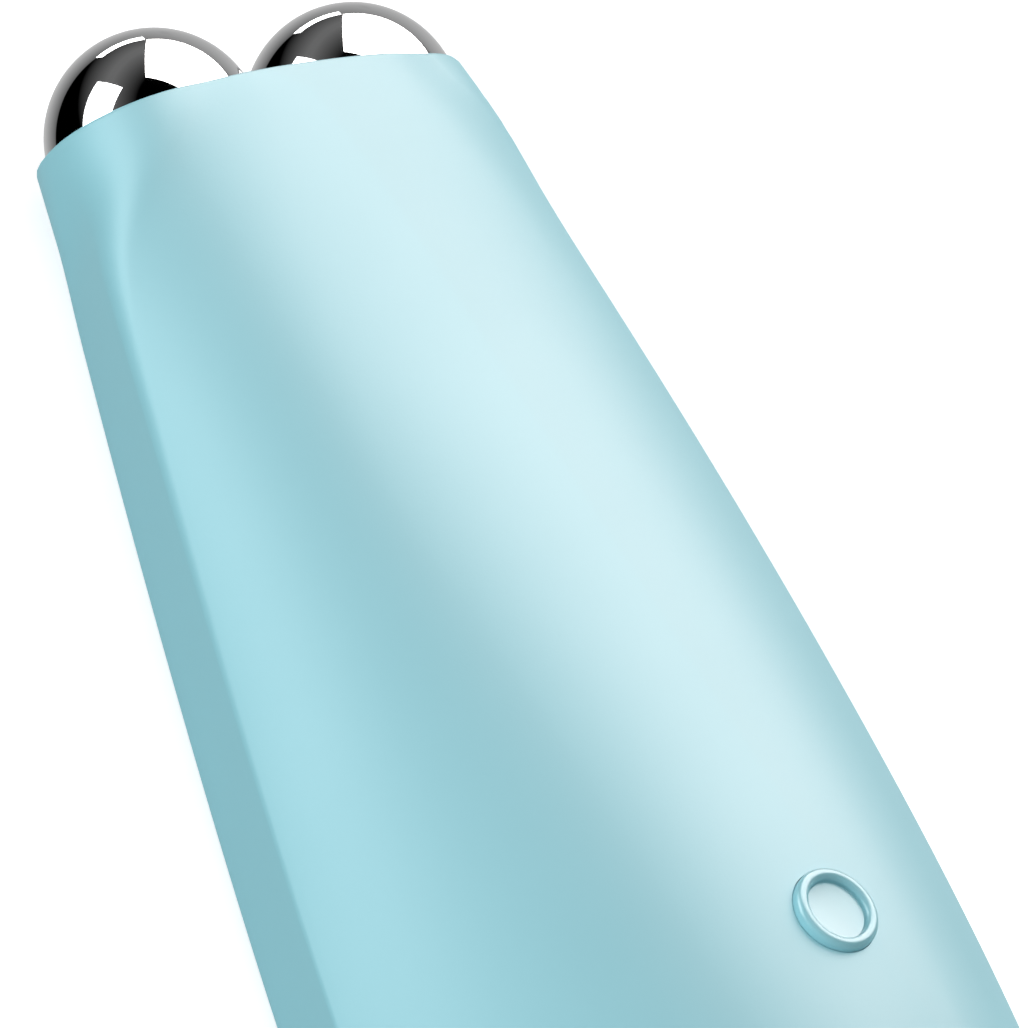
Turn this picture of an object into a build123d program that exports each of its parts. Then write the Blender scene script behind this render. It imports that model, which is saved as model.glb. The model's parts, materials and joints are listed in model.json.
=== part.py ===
"""Hand-held facial toning device: a lofted, soft-skinned body that carries two contact balls
at its head and a ring-shaped push button near its tail.

Millimetres. The device lies on its flat back: +Z points out of the face with the button, +Y
points to the head with the balls, and X runs across. The origin is the bottom centre of the
bounding box.
"""
from build123d import *
from functools import cache
from math import cos, exp, hypot, radians, sin, sqrt, tan
import os

# ---------------------------------------------------------------- body form
body_run = 90.0              # from the ball centres back to the widest station
head_half_width = 19.4       # where flank and side panel would meet, at the ball centres
belly_half_width = 28.4
width_softness = 0.31        # how soon the sides straighten, as a share of body_run
head_crown_height = 18.8
belly_crown_height = 34.0
height_softness = 0.37
head_margin = 2.6            # how far the form runs past the ball centres before the rim cut
station_setbacks = (0, 2, 4, 6, 9, 12, 16, 21, 27, 36, 48, 60, 70, 80, 90, 100)  # from the ball centres

# Each size of the cross-section at the belly, as it would run on to the head, and at the head,
# then how far back the head's own size fades out.
crown_radii = (25.0, 36.0, 60.0, 6.5)
shoulders = (38.0, 9.2, 6.7, 8.0)         # degrees of crown arc on each side of the middle
crease_heights = (10.7, 11.9, 15.5, 6.0)   # where the flank arc meets the side panel
drafts = (15.2, 25.0, 7.4, 6.5)            # degrees the side panel leans in toward the back
crease_radii = (1.0, 2.8, 8.7, 7.5)        # edge between flank and side panel
back_edge_radii = (2.4, 2.4, 8.6, 7.0)     # edge between side panel and flat back

# ---------------------------------------------------------------- walls
skin_wall = 0.6              # soft over-moulded skin
shell_wall = 2.0             # rigid front shell
skin_lip = 1.0               # flat band of skin that shows round the back cover
rim_rise = 0.65              # rim plane ahead of the ball centres, at ball height
rim_slope = 0.05             # the rim leans: its front edge lies nearer the tail
cover_thickness = 2.6
cover_floor = 1.6
tongue_height = 1.8
tongue_wall = 1.2
tongue_gap = 0.12
tongue_setback = 2.2         # tongue and gasket end this far behind the head cap
cap_joint_gap = 0.1          # between head cap and back cover

# ---------------------------------------------------------------- contact balls
ball_radius = 8.0
ball_spacing = 18.7
ball_height = 9.0
seat_gap = 0.05
collar_radius = 3.0
collar_length = 0.6
stud_radius = 1.5
stud_length = 8.0            # from the collar's end
stud_chamfer = 0.5
seal_thickness = 1.2
seal_side_gap = 0.1
cap_web = 2.2                # cap material behind the seal
hole_gap = 0.1
spigot_length = 3.5
spigot_height = 5.4          # the spigot starts above the cover's tongue
lug_thickness = 0.5
lug_radius = 3.0
lug_tail = 3.6
lug_tail_width = 2.0
washer_thickness = 0.6
nut_thickness = 2.4
nut_across_flats = 5.5

# ---------------------------------------------------------------- ring button
button_setback = 76.5        # from the ball centres
ring_radius = 2.86           # centre line of the raised ring
ring_half_width = 0.48
ring_wall = 0.2              # height of the ridge's upright walls, below its round top
button_travel = 0.5
button_gap = 0.05            # radial, in the shell's guide hole
flange_radius = 4.8
flange_thickness = 0.8
flange_gap = 0.1
stem_radius = 1.5
stem_length = 1.65
spot_gap = 0.3               # flat under the shell, wider than the button's flange
button_seal_depth = 0.8
button_seal_width = 0.9

# ---------------------------------------------------------------- tactile switch
switch_side = 6.0
plunger_radius = 1.7
plunger_foot_radius = 2.3
plunger_foot = 0.6
plunger_gap = 0.08
plunger_stand = 0.75         # height that the plunger stands out of its cover at rest
contact_gap = 0.05
switch_plate = 0.3
switch_height = 2.7
well_radius = 2.5
dome_room = 0.22             # left under the plunger's foot at the end of its travel
dome_radius = 2.4
dome_rise = 0.6
dome_sheet = 0.12

# ---------------------------------------------------------------- board and its parts
board_thickness = 1.2
board_width = 25.0
board_tail_reach = 14.0      # from the button axis toward the tail
board_head_reach = 34.0      # from the button axis toward the head
board_corner = 3.0
board_boss_radius = 2.2
board_boss_inset = 3.2       # boss centres in from the board's edges
pilot_radius = 0.8
board_pilot_depth = 3.4
screw_gap = 0.05
board_screw_head_radius = 1.5
board_screw_head = 1.0
board_screw_grip = 2.8
beeper_radius = 4.5
beeper_height = 3.0
beeper_inset = 12.0          # in from the board's head end
beeper_port = 0.7
beeper_port_depth = 1.5

# ---------------------------------------------------------------- gasket under the front shell
gasket_inset = 1.3
gasket_width = 0.8
gasket_depth = 0.6

# ---------------------------------------------------------------- chassis, battery, case screws
chassis_height = 4.8
chassis_floor = 1.4
chassis_gap = 0.3
chassis_socket_gap = 2.0     # its rear edge ahead of the socket's inner end
chassis_head = 68.0          # front edge ahead of the belly station
battery_width = 24.0
battery_length = 38.0
battery_corner = 2.0
battery_tail = 2.0           # rear end ahead of the belly station
battery_gap = 0.3
battery_headroom = 0.6       # between the cell and the lowest part under the board
pad_thickness = 0.8
pad_margin = 2.0
tray_wall = 1.2
tray_drop = 4.25             # tray walls end this far below the top of the cell
case_boss_radius = 2.8
rear_boss_angle = 53.0       # from straight back, round the tail's axis
rear_boss_inset = 4.4        # boss centre in from the edge of the flat back
front_boss_run = 60.0        # ahead of the belly station
front_boss_inset = 3.5
case_pilot_depth = 9.0
case_pilot_radius = 1.0
case_screw_head_radius = 2.0
case_screw_head = 1.6
case_screw_recess = 0.6
case_screw_grip = 8.0        # thread length in the boss
counterbore_gap = 0.2
column_radius = 3.2

# ---------------------------------------------------------------- charging socket
socket_height = 7.2
socket_radius = 2.6
socket_bore = 1.75
socket_depth = 9.4
socket_end_wall = 1.6
socket_flange_radius = 3.6
socket_flange = 1.4
socket_flange_setback = 4.0  # flange face behind the outer end of the socket
socket_gap = 0.05
cradle_half_width = 5.0
cradle_height = 3.4
cradle_flange_gap = 0.8      # its rear end ahead of the socket's flange
tab_thickness = 0.4
tab_width = 1.4
tab_length = 3.4

# ---------------------------------------------------------------- parts under the board
plug_length = 5.5
plug_height = 4.0
plug_side = 1.8              # plug body beyond the leads on each side
electrode_plug_inset = 4.0   # in from the board's head end
battery_plug_place = (-7.0, 14.8)
socket_plug_place = (0.0, -10.2)
chip_side = 7.0
chip_height = 0.9
controller_place = (0.0, 3.5)
driver_size = (5.0, 4.0, 1.4)
driver_place = (-6.5, -2.5)
coil_radius = 4.0
coil_height = 4.0
coil_core_radius = 1.6
coil_flange = 0.8
coil_place = (5.0, 17.5)
capacitor_radius = 1.6
capacitor_height = 4.4
capacitor_x = 8.5
capacitor_reaches = (-3.0, 2.0, 7.0)

# ---------------------------------------------------------------- leads
lead_radius = 0.55
lead_pitch = 2.4
lead_turn_share = 0.45       # of its shorter run that half of a turn takes up
electrode_lead_x = 3.4
electrode_lead_rise = 6.0    # straight run in front of the plug
battery_lead_reach = 5.6     # how far the leads stand out of the battery
battery_lead_gap = 0.3       # above the tray wall
socket_lead_reach = 7.0      # how far the leads turn up behind their plug

# ---------------------------------------------------------------- stations of the body form


def growth(share, softness):
    """A hyperbola from 0, level at the belly, to 1 at the ball centres."""
    return (hypot(share, softness) - softness) / (hypot(1, softness) - softness)


def between(share, belly_size, head_size):
    return belly_size + (head_size - belly_size) * share


def section_sizes(run):
    """Sizes of the cross-section that lies run mm ahead of the belly station."""
    share = abs(run) / body_run
    def blend(sizes):
        belly_size, neck_size, head_size, fade = sizes
        head_share = exp(-((max(body_run - run, 0) / fade) ** 2))
        return between(head_share, between(share**2, belly_size, neck_size), head_size)

    return dict(
        half_width=between(growth(share, width_softness), belly_half_width, head_half_width),
        crown_height=between(growth(share, height_softness), belly_crown_height,
                             head_crown_height),
        crown_radius=blend(crown_radii),
        shoulder=radians(blend(shoulders)),
        crease_height=blend(crease_heights),
        draft=radians(blend(drafts)),
        crease_radius=blend(crease_radii),
        back_edge_radius=blend(back_edge_radii),
    )


class HalfSection:
    """Right half of a cross-section, moved inward by inset, with its base at height base.

    The outline runs crown arc, flank arc, crease fillet, side panel, base fillet, base line.
    Points are Vector(x, z).
    """

    least_fillet = 0.3

    def __init__(self, run, inset=0.0, base=0.0):
        size = section_sizes(run)
        draft = size["draft"]
        outward = Vector(cos(draft), -sin(draft))
        down = Vector(-sin(draft), -cos(draft))
        corner = Vector(size["half_width"], size["crease_height"])

        # the flank arc leaves the crown arc at the shoulder and runs to the corner
        crown_centre = Vector(0, size["crown_height"] - size["crown_radius"])
        turn = Vector(sin(size["shoulder"]), cos(size["shoulder"]))
        outer_shoulder = crown_centre + turn * size["crown_radius"]
        span = corner - outer_shoulder
        flank_radius = -span.dot(span) / (2 * turn.dot(span))
        flank_centre = outer_shoulder - turn * flank_radius
        flank = flank_radius - inset

        # the crease fillet touches the flank circle and the side panel
        crease = max(size["crease_radius"] - inset, self.least_fillet)
        offset = corner - outward * (inset + crease) - flank_centre
        middle = offset.dot(down)
        slide = -middle - sqrt(middle**2 - offset.dot(offset) + (flank - crease) ** 2)
        crease_centre = flank_centre + offset + down * slide

        # the base fillet touches the side panel and the base line
        edge = max(size["back_edge_radius"] - inset, self.least_fillet)
        drop = (corner.Y + (inset + edge) * sin(draft) - base - edge) / cos(draft)
        edge_centre = corner - outward * (inset + edge) + down * drop

        self.top = Vector(0, size["crown_height"] - inset)
        self.shoulder = outer_shoulder - turn * inset
        crown = size["crown_radius"] - inset
        half_turn = size["shoulder"] / 2
        self.crown_middle = crown_centre + Vector(sin(half_turn), cos(half_turn)) * crown
        self.flank_end = flank_centre + (crease_centre - flank_centre).normalized() * flank
        self.flank_middle = self.on_arc(flank_centre, self.shoulder, self.flank_end)
        self.reach = crease_centre.X + crease
        self.panel_top = crease_centre + outward * crease
        self.crease_middle = self.on_arc(crease_centre, self.flank_end, self.panel_top)
        self.panel_foot = edge_centre + outward * edge
        self.base_corner = Vector(edge_centre.X, base)
        self.edge_middle = self.on_arc(edge_centre, self.panel_foot, self.base_corner)

    @staticmethod
    def on_arc(centre, start, end):
        """The middle of the short arc from start to end."""
        radius = (start - centre).length
        return centre + ((start - centre) + (end - centre)).normalized() * radius

    def side(self, place):
        """Edges from the crown's shoulder down to the base corner; place puts a point in 3D."""
        return [
            ThreePointArc(place(self.shoulder), place(self.flank_middle), place(self.flank_end)),
            ThreePointArc(place(self.flank_end), place(self.crease_middle), place(self.panel_top)),
            Line(place(self.panel_top), place(self.panel_foot)),
            ThreePointArc(place(self.panel_foot), place(self.edge_middle), place(self.base_corner)),
        ]


# ---------------------------------------------------------------- places along the body
ball_axis_x = ball_spacing / 2
tail_reach = HalfSection(0).reach
body_length = ball_radius + body_run + tail_reach
ball_y = body_length / 2 - ball_radius
belly_y = ball_y - body_run
rim_y = ball_y + rim_rise
button_y = ball_y - button_setback
shell_inset = skin_wall + shell_wall


def section_face(run, inset, base):
    """Whole cross-section in the plane run mm ahead of the belly station."""
    half = HalfSection(run, inset, base)

    def right(point):
        return Vector(point.X, belly_y + run, point.Y)

    def left(point):
        return Vector(-point.X, belly_y + run, point.Y)

    crown_arc = ThreePointArc(left(half.shoulder), right(half.top), right(half.shoulder))
    base_line = Line(right(half.base_corner), left(half.base_corner))
    return make_face(Wire([crown_arc, base_line] + half.side(right) + half.side(left)))


@cache
def body_form(inset=0.0, base=0.0):
    """The body's outer form, or a form that lies inset mm inside it, before the rim cut."""
    stations = [body_run + head_margin] + [body_run - setback for setback in station_setbacks]
    front = loft([section_face(run, inset, base) for run in stations]) - behind(belly_y)
    half = HalfSection(0, inset, base)

    def right(point):
        return Vector(point.X, belly_y, point.Y)

    axis_top = right(half.top)
    axis_foot = Vector(0, belly_y, base)
    crown_arc = ThreePointArc(axis_top, right(half.crown_middle), right(half.shoulder))
    outline = [crown_arc] + half.side(right)
    outline += [Line(right(half.base_corner), axis_foot), Line(axis_foot, axis_top)]
    tail = revolve(make_face(Wire(outline)), Axis((0, belly_y, 0), (0, 0, -1)), 180)
    return front + tail


# ---------------------------------------------------------------- cutting tools and frames
FAR = 200.0                  # larger than the device
overcut = 1.0                # how far a cutting tool runs past the face that it cuts


def slab(low, high):
    """Everything between two heights."""
    return Pos(0, 0, low) * Box(FAR, FAR, high - low, align=(Align.CENTER, Align.CENTER, Align.MIN))


def ahead_of(y):
    return Pos(0, y, 0) * Box(FAR, FAR, FAR, align=(Align.CENTER, Align.MIN, Align.CENTER))


def behind(y):
    return Pos(0, y, 0) * Box(FAR, FAR, FAR, align=(Align.CENTER, Align.MAX, Align.CENTER))


def rod(radius, y_from, y_to, x=0.0, z=0.0):
    """A cylinder along Y."""
    start = Plane(origin=(x, y_from, z), z_dir=(0, 1, 0))
    return start * Cylinder(radius, y_to - y_from, align=(Align.CENTER, Align.CENTER, Align.MIN))


def post(radius, z_from, z_to, x=0.0, y=0.0):
    """A cylinder along Z."""
    solid = Cylinder(radius, z_to - z_from, align=(Align.CENTER, Align.CENTER, Align.MIN))
    return Pos(x, y, z_from) * solid


def block(x_size, y_size, z_size, x, y, z):
    """A box whose centre is at x, y and whose underside is at z."""
    return Pos(x, y, z) * Box(x_size, y_size, z_size, align=(Align.CENTER, Align.CENTER, Align.MIN))


def rounded_block(x_size, y_size, z_size, corner, x, y, z):
    outline = Pos(x, y, z) * RectangleRounded(x_size, y_size, corner)
    return extrude(outline, z_size, dir=(0, 0, 1))


def ring(outer_radius, inner_radius, z_from, z_to):
    return post(outer_radius, z_from, z_to) - post(inner_radius, z_from, z_to)


rim_cut = Plane(origin=(0, rim_y, ball_height), z_dir=(0, 1, rim_slope)) * Box(
    FAR, FAR, FAR, align=(Align.CENTER, Align.CENTER, Align.MIN))
cap_back_y = ball_y - ball_radius - collar_length - seal_thickness - cap_web
ball_sides = (-1, 1)

# the crown frame: +Z is the crown's normal under the button, +Y runs along the crown to the head
crown_step = 0.01
button_run = button_y - belly_y
crown_rise = (section_sizes(button_run + crown_step)["crown_height"]
              - section_sizes(button_run - crown_step)["crown_height"]) / (2 * crown_step)
button_height = section_sizes(button_run)["crown_height"]
crown = Plane(origin=(0, button_y, button_height), x_dir=(1, 0, 0), z_dir=(0, -crown_rise, 1))

# heights in the crown frame, from the skin's surface inward
flange_top = -shell_inset - flange_gap
flange_foot = flange_top - flange_thickness
stem_foot = flange_foot - stem_length
plunger_top = stem_foot - contact_gap
plate_top = plunger_top - plunger_stand
switch_top = plate_top - switch_plate
board_top = switch_top - switch_height
board_foot = board_top - board_thickness
plunger_foot_top = switch_top - plunger_gap
well_floor = plunger_foot_top - plunger_foot - button_travel - dome_room - dome_rise

button_radius = ring_radius + ring_half_width
guide_radius = button_radius + button_gap
seal_radius = button_radius + button_seal_width
board_middle = (board_head_reach - board_tail_reach) / 2
beeper_reach = board_head_reach - beeper_inset
electrode_plug_place = (0.0, board_head_reach - electrode_plug_inset)
board_length = board_head_reach + board_tail_reach
board_boss_x = board_width / 2 - board_boss_inset
board_boss_places = [(side * board_boss_x, reach) for side in ball_sides
                     for reach in (board_boss_inset - board_tail_reach,
                                   board_head_reach - board_boss_inset)]
rear_boss_reach = HalfSection(0).base_corner.X - rear_boss_inset
rear_boss = (rear_boss_reach * sin(radians(rear_boss_angle)),
             belly_y - rear_boss_reach * cos(radians(rear_boss_angle)))
front_boss = (HalfSection(front_boss_run).base_corner.X - front_boss_inset,
              belly_y + front_boss_run)
case_boss_places = [(side * x, y) for side in ball_sides for x, y in (rear_boss, front_boss)]
chassis_top = chassis_height + chassis_floor
tongue_top = cover_thickness + tongue_height
tongue_end_y = cap_back_y - spigot_length - tongue_setback

socket_mouth_y = belly_y - tail_reach
socket_end_y = socket_mouth_y + socket_depth + socket_end_wall
flange_y = socket_mouth_y + socket_flange_setback
chassis_tail_y = socket_end_y + chassis_socket_gap
cradle_tail_y = flange_y + socket_flange + cradle_flange_gap

# the cell fills the height between its pad and the lowest part that hangs under the board
hanging_parts = [(coil_place[1] + coil_radius, coil_height),
                 (capacitor_reaches[-1] + capacitor_radius, capacitor_height)]
hanging_parts += [(place[1] + plug_length / 2, plug_height)
                  for place in (electrode_plug_place, battery_plug_place)]
lowest_foot = min(crown.from_local_coords((0, reach, board_foot - height)).Z
                  for reach, height in hanging_parts)
battery_foot = chassis_top + pad_thickness
battery_thickness = lowest_foot - battery_headroom - battery_foot
battery_middle_y = belly_y + battery_tail + battery_length / 2
tray_height = pad_thickness + battery_thickness - tray_drop


def back_outline(inset):
    """Plan outline of the flat back, inset mm inside it and open past the head's end."""
    runs = sorted(body_run - setback for setback in station_setbacks if setback <= body_run)
    right = [Vector(HalfSection(run).base_corner.X - inset, belly_y + run) for run in runs]
    left = [Vector(-point.X, point.Y) for point in reversed(right)]
    tail = Vector(0, belly_y - right[0].X)
    heading = (right[-1] - right[-2]).normalized()
    right_edge = Spline(*right, tangents=[(0, 1), heading])
    left_edge = Spline(*left, tangents=[(heading.X, -heading.Y), (0, -1)])
    far_right = Vector(right[-1].X, FAR)
    far_left = Vector(left[0].X, FAR)
    head_lines = [Line(right[-1], far_right), Line(far_right, far_left), Line(far_left, left[0])]
    return make_face(Wire([right_edge, left_edge, ThreePointArc(left[-1], tail, right[0])]
                          + head_lines))


# ---------------------------------------------------------------- skin and rigid shells
whole = body_form() - rim_cut
core = body_form(skin_wall, skin_wall)
cavity = body_form(shell_inset, skin_wall)
back_opening = Pos(0, 0, -skin_wall) * extrude(back_outline(skin_lip), 2 * skin_wall, dir=(0, 0, 1))


def socket_hole():
    return rod(socket_radius, socket_mouth_y - overcut, socket_end_y, z=socket_height)


def make_soft_skin():
    button_hole = crown * post(guide_radius, -2 * skin_wall, overcut)
    return whole - core - back_opening - button_hole - socket_hole()


def make_front_shell():
    shell = (core - cavity) & slab(cover_thickness, FAR) & behind(cap_back_y)
    for x, y in case_boss_places:
        shell += post(case_boss_radius, chassis_top, belly_crown_height, x, y) & core
    board_bosses = [post(board_boss_radius, board_top, 0, x, y) for x, y in board_boss_places]
    for boss in board_bosses:
        shell += (crown * boss) & core
    for x, y in case_boss_places:
        shell -= post(case_pilot_radius, chassis_top, chassis_top + case_pilot_depth, x, y)
    for x, y in board_boss_places:
        shell -= crown * post(pilot_radius, board_top, board_top + board_pilot_depth, x, y)
    shell -= crown * post(guide_radius, -2 * shell_inset, overcut)
    shell -= crown * post(flange_radius + spot_gap, -2 * shell_inset, -shell_inset)
    shell -= crown * post(seal_radius, -2 * shell_inset, button_seal_depth - shell_inset)
    return shell - socket_hole()


def make_back_cover():
    plate = extrude(back_outline(skin_lip), skin_wall, dir=(0, 0, 1))
    cover = (plate + (core & slab(0, cover_thickness))) & behind(cap_back_y - cap_joint_gap)
    tongue_outside = body_form(shell_inset + tongue_gap, skin_wall)
    tongue_inside = body_form(shell_inset + tongue_gap + tongue_wall, skin_wall)
    cover += tongue_outside & slab(cover_thickness, tongue_top) & behind(tongue_end_y)
    room = slab(cover_floor, tongue_top + overcut) & behind(tongue_end_y - tongue_wall)
    cover -= tongue_inside & room
    for x, y in case_boss_places:
        cover += post(column_radius, skin_wall, chassis_height, x, y)
    cover -= make_cover_gasket()
    head_seat = case_screw_recess + case_screw_head
    for x, y in case_boss_places:
        bore = case_screw_head_radius + counterbore_gap
        cover -= post(bore, -overcut, head_seat, x, y)
        cover -= post(case_pilot_radius + hole_gap, -overcut, chassis_height + overcut, x, y)
    return cover - rod(socket_flange_radius + chassis_gap, socket_mouth_y, chassis_tail_y,
                       z=socket_height)


def make_cover_gasket():
    layer = slab(cover_thickness - gasket_depth, cover_thickness) & behind(
        cap_back_y - tongue_setback)
    outside = body_form(gasket_inset, skin_wall) & layer
    return outside - (body_form(gasket_inset + gasket_width, skin_wall) & layer)


# ---------------------------------------------------------------- head: cap, balls and their fixings
seat_y = ball_y - ball_radius - collar_length


def make_head_cap():
    plate = extrude(back_outline(skin_lip), skin_wall, dir=(0, 0, 1))
    cap = (core + plate) & ahead_of(cap_back_y)
    spigot = body_form(shell_inset + tongue_gap, skin_wall) - body_form(
        shell_inset + tongue_gap + tongue_wall, skin_wall)
    spigot = spigot & slab(spigot_height, FAR) & ahead_of(cap_back_y - spigot_length)
    cap = cap + (spigot & behind(cap_back_y)) - rim_cut
    for side in ball_sides:
        x = side * ball_axis_x
        cap -= Pos(x, ball_y, ball_height) * Sphere(ball_radius + seat_gap)
        cap -= rod(collar_radius + seal_side_gap, seat_y - seal_thickness, ball_y, x, ball_height)
        cap -= rod(stud_radius + hole_gap, cap_back_y - overcut, ball_y, x, ball_height)
    return cap


def make_ball(side):
    x = side * ball_axis_x
    stud_end = seat_y - stud_length
    ball = Pos(x, ball_y, ball_height) * Sphere(ball_radius)
    ball += rod(collar_radius, seat_y, ball_y - collar_radius, x, ball_height)
    ball += rod(stud_radius, stud_end + stud_chamfer, seat_y, x, ball_height)
    tip = Plane(origin=(x, stud_end, ball_height), z_dir=(0, 1, 0)) * Cone(
        stud_radius - stud_chamfer, stud_radius, stud_chamfer,
        align=(Align.CENTER, Align.CENTER, Align.MIN))
    return ball + tip


def make_ball_seal(side):
    x = side * ball_axis_x
    seal = rod(collar_radius + seal_side_gap, seat_y - seal_thickness, seat_y, x, ball_height)
    return seal - rod(stud_radius, seat_y - seal_thickness - overcut, seat_y + overcut, x,
                      ball_height)


lug_y = cap_back_y - lug_thickness
washer_y = lug_y - washer_thickness
nut_y = washer_y - nut_thickness


def make_ball_lug(side):
    x = side * ball_axis_x
    lug = rod(lug_radius, lug_y, cap_back_y, x, ball_height)
    tail_length = lug_radius + lug_tail
    lug += Pos(x - side * tail_length / 2, lug_y + lug_thickness / 2, ball_height) * Box(
        tail_length, lug_thickness, lug_tail_width)
    return lug - rod(stud_radius + seat_gap, lug_y - overcut, cap_back_y + overcut, x, ball_height)


def make_ball_washers():
    solids = []
    for side in ball_sides:
        x = side * ball_axis_x
        outer = rod(lug_radius, washer_y, lug_y, x, ball_height)
        hole = rod(stud_radius + seat_gap, washer_y - overcut, lug_y + overcut, x, ball_height)
        solids.append(outer - hole)
    return solids


def make_ball_nuts():
    solids = []
    for side in ball_sides:
        x = side * ball_axis_x
        place = Plane(origin=(x, nut_y, ball_height), x_dir=(1, 0, 0), z_dir=(0, 1, 0))
        hexagon = RegularPolygon(nut_across_flats / 2, 6, major_radius=False)
        nut = extrude(place * hexagon, nut_thickness, dir=(0, 1, 0))
        solids.append(nut - rod(stud_radius, nut_y - overcut, washer_y + overcut, x, ball_height))
    return solids


# ---------------------------------------------------------------- ring button and its switch
def make_ring_button():
    inner_radius = ring_radius - ring_half_width
    ridge = ThreePointArc((inner_radius, ring_wall), (ring_radius, ring_wall + ring_half_width),
                          (button_radius, ring_wall))
    body = Polyline((button_radius, ring_wall), (button_radius, flange_top),
                    (flange_radius, flange_top), (flange_radius, flange_foot),
                    (stem_radius, flange_foot), (stem_radius, stem_foot), (0, stem_foot),
                    (0, 0), (inner_radius, 0), (inner_radius, ring_wall))
    profile = Plane.XZ * make_face(Wire([ridge] + list(body.edges())))
    return crown * revolve(profile, Axis.Z, 360)


def make_button_seal():
    return crown * ring(seal_radius, guide_radius, -shell_inset, button_seal_depth - shell_inset)


def make_switch_base():
    base = block(switch_side, switch_side, switch_height, 0, 0, board_top)
    return crown * (base - post(well_radius, well_floor, switch_top + overcut))


def make_switch_dome():
    bend = (dome_radius**2 + dome_rise**2) / (2 * dome_rise)
    centre = Pos(0, 0, well_floor + dome_rise - bend)
    sheet = centre * Sphere(bend) - centre * Sphere(bend - dome_sheet)
    return crown * (sheet & slab(well_floor, switch_top))


def make_switch_plunger():
    stem = post(plunger_radius, plunger_foot_top, plunger_top)
    return crown * (stem + post(plunger_foot_radius, plunger_foot_top - plunger_foot,
                                plunger_foot_top))


def make_switch_plate():
    plate = block(switch_side, switch_side, switch_plate, 0, 0, switch_top)
    return crown * (plate - post(plunger_radius + plunger_gap, switch_top - overcut,
                          plate_top + overcut))


# ---------------------------------------------------------------- board
def make_main_board():
    board = rounded_block(board_width, board_length, board_thickness, board_corner,
                          0, board_middle, board_foot)
    for x, y in board_boss_places:
        board -= post(pilot_radius + hole_gap, board_foot - overcut, board_top + overcut, x, y)
    return crown * board


def make_board_screws():
    solids = []
    for x, y in board_boss_places:
        head = post(board_screw_head_radius, board_foot - board_screw_head, board_foot, x, y)
        shank = post(pilot_radius - screw_gap, board_foot, board_top + board_screw_grip, x, y)
        solids.append(crown * (head + shank))
    return solids


def make_beeper():
    case = post(beeper_radius, board_top, board_top + beeper_height, 0, beeper_reach)
    case_top = board_top + beeper_height
    port = post(beeper_port, case_top - beeper_port_depth, case_top + overcut, 0, beeper_reach)
    return crown * (case - port)


def under_board(x_size, y_size, height, place):
    return crown * block(x_size, y_size, height, place[0], place[1], board_foot - height)


def make_boost_coil():
    x, y = coil_place
    foot = board_foot - coil_height
    coil = post(coil_radius, foot, foot + coil_flange, x, y)
    coil += post(coil_radius - coil_flange, foot, board_foot, x, y)
    coil += post(coil_radius, board_foot - coil_flange, board_foot, x, y)
    return crown * (coil - post(coil_core_radius, foot - overcut, foot + coil_flange, x, y))


def make_board_capacitors():
    return [crown * post(capacitor_radius, board_foot - capacitor_height, board_foot,
                         capacitor_x, reach) for reach in capacitor_reaches]


def make_lead_plugs():
    width = lead_pitch + 2 * plug_side
    electrode_width = 2 * electrode_lead_x + 2 * plug_side
    return [under_board(electrode_width, plug_length, plug_height, electrode_plug_place),
            under_board(width, plug_length, plug_height, battery_plug_place),
            under_board(width, plug_length, plug_height, socket_plug_place)]


# ---------------------------------------------------------------- chassis, battery and case screws
def make_chassis():
    form = body_form(shell_inset + chassis_gap, skin_wall)
    chassis = form & slab(chassis_height, chassis_top) & ahead_of(chassis_tail_y)
    chassis = chassis & behind(belly_y + chassis_head)
    tray_x = battery_width + 2 * battery_gap
    tray_y = battery_length + 2 * battery_gap
    tray = block(tray_x + 2 * tray_wall, tray_y + 2 * tray_wall, tray_height,
                 0, battery_middle_y, chassis_top)
    chassis += tray - block(tray_x, tray_y, tray_height, 0, battery_middle_y, chassis_top)
    cradle_length = chassis_tail_y - cradle_tail_y
    chassis += block(2 * cradle_half_width, cradle_length, cradle_height,
                     0, chassis_tail_y - cradle_length / 2, chassis_height)
    chassis -= rod(socket_radius + socket_gap, socket_mouth_y, chassis_tail_y, z=socket_height)
    for x, y in case_boss_places:
        chassis -= post(case_pilot_radius + hole_gap, chassis_height - overcut,
                        chassis_top + overcut, x, y)
    return chassis


def make_case_screws():
    solids = []
    for x, y in case_boss_places:
        head_top = case_screw_recess + case_screw_head
        head = post(case_screw_head_radius, case_screw_recess, head_top, x, y)
        shank = post(case_pilot_radius - screw_gap, head_top, chassis_top + case_screw_grip, x, y)
        solids.append(head + shank)
    return solids


def make_battery_cell():
    outline = RectangleRounded(battery_width, battery_thickness, battery_corner)
    place = Plane(origin=(0, battery_middle_y - battery_length / 2,
                          battery_foot + battery_thickness / 2),
                  x_dir=(1, 0, 0), z_dir=(0, 1, 0))
    return extrude(place * outline, battery_length, dir=(0, 1, 0))


def make_battery_pad():
    return block(battery_width - 2 * pad_margin, battery_length - 2 * pad_margin, pad_thickness,
                 0, battery_middle_y, chassis_top)


# ---------------------------------------------------------------- charging socket


def make_charge_socket():
    body = socket_hole() & body_form()
    body += rod(socket_flange_radius, flange_y, flange_y + socket_flange, z=socket_height) & cavity
    return body - rod(socket_bore, socket_mouth_y - overcut, socket_mouth_y + socket_depth,
                      z=socket_height)


def make_socket_seal():
    seal = rod(socket_flange_radius, socket_mouth_y, flange_y, z=socket_height)
    return (seal - socket_hole()) & cavity


def make_socket_tabs():
    return [Pos(side * lead_pitch / 2, socket_end_y + tab_length / 2, socket_height)
            * Box(tab_width, tab_length, tab_thickness) for side in ball_sides]


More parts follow.
